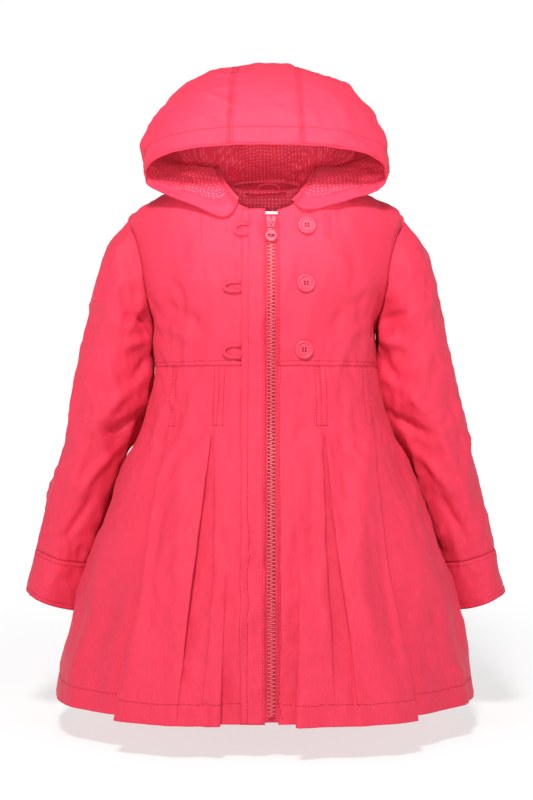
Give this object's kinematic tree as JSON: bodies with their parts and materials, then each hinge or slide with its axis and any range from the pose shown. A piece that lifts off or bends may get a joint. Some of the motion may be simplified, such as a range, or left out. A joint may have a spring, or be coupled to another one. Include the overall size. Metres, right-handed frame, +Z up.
{
  "type": "hooded coat",
  "caption": "Child's hooded coat filled out as if worn: bodice, pleated skirt, cuffed sleeves, lined hood, and a front zip with a swinging pull tab beside a fly with button loops.",
  "frame": {"origin": "midway between the high points of the two shoulder seams, where the coat rests on its wearer", "axes": "+Z up, -Y to the front of the coat, +X to the wearer's left"},
  "size_m": [0.527, 0.3633, 0.6848],
  "materials": {
    "shell": "washed coral cotton twill",
    "lining": "coral cotton with small pale dots",
    "zip": "coral enamelled zip on woven tape",
    "button": "polished coral plastic",
    "label": "plain white satin"
  },
  "bodies": {
    "coat": {"back_neck_lining": "lining", "blank_label": "label", "bodice_back": "shell", "bodice_front_left": "shell", "bodice_front_right": "shell", "button_loop_low": "shell", "button_loop_middle": "shell", "button_loop_top": "shell", "button_low": "button", "button_middle": "button", "button_top": "button", "cuff_left": "shell", "cuff_right": "shell", "fly_strip": "shell", "hanger_loop": "shell", "hood_centre": "shell", "hood_facing": "shell", "hood_lining": "lining", "hood_side_left": "shell", "hood_side_right": "shell", "skirt_back": "shell", "skirt_front_left": "shell", "skirt_front_right": "shell", "sleeve_left": "shell", "sleeve_right": "shell", "zip_chain": "zip", "zip_slider": "zip", "zip_tape": "zip"},
    "pull_tab": {"pull_tab": "zip"}
  },
  "joints": [
    {"name": "pull_tab_swing", "type": "hinge", "parent": "coat", "child": "pull_tab", "pos_m": [0.00532, -0.08384, -0.06506], "axis": [-1, -0.0071, 0], "range_deg": [0, 150]}
  ]
}
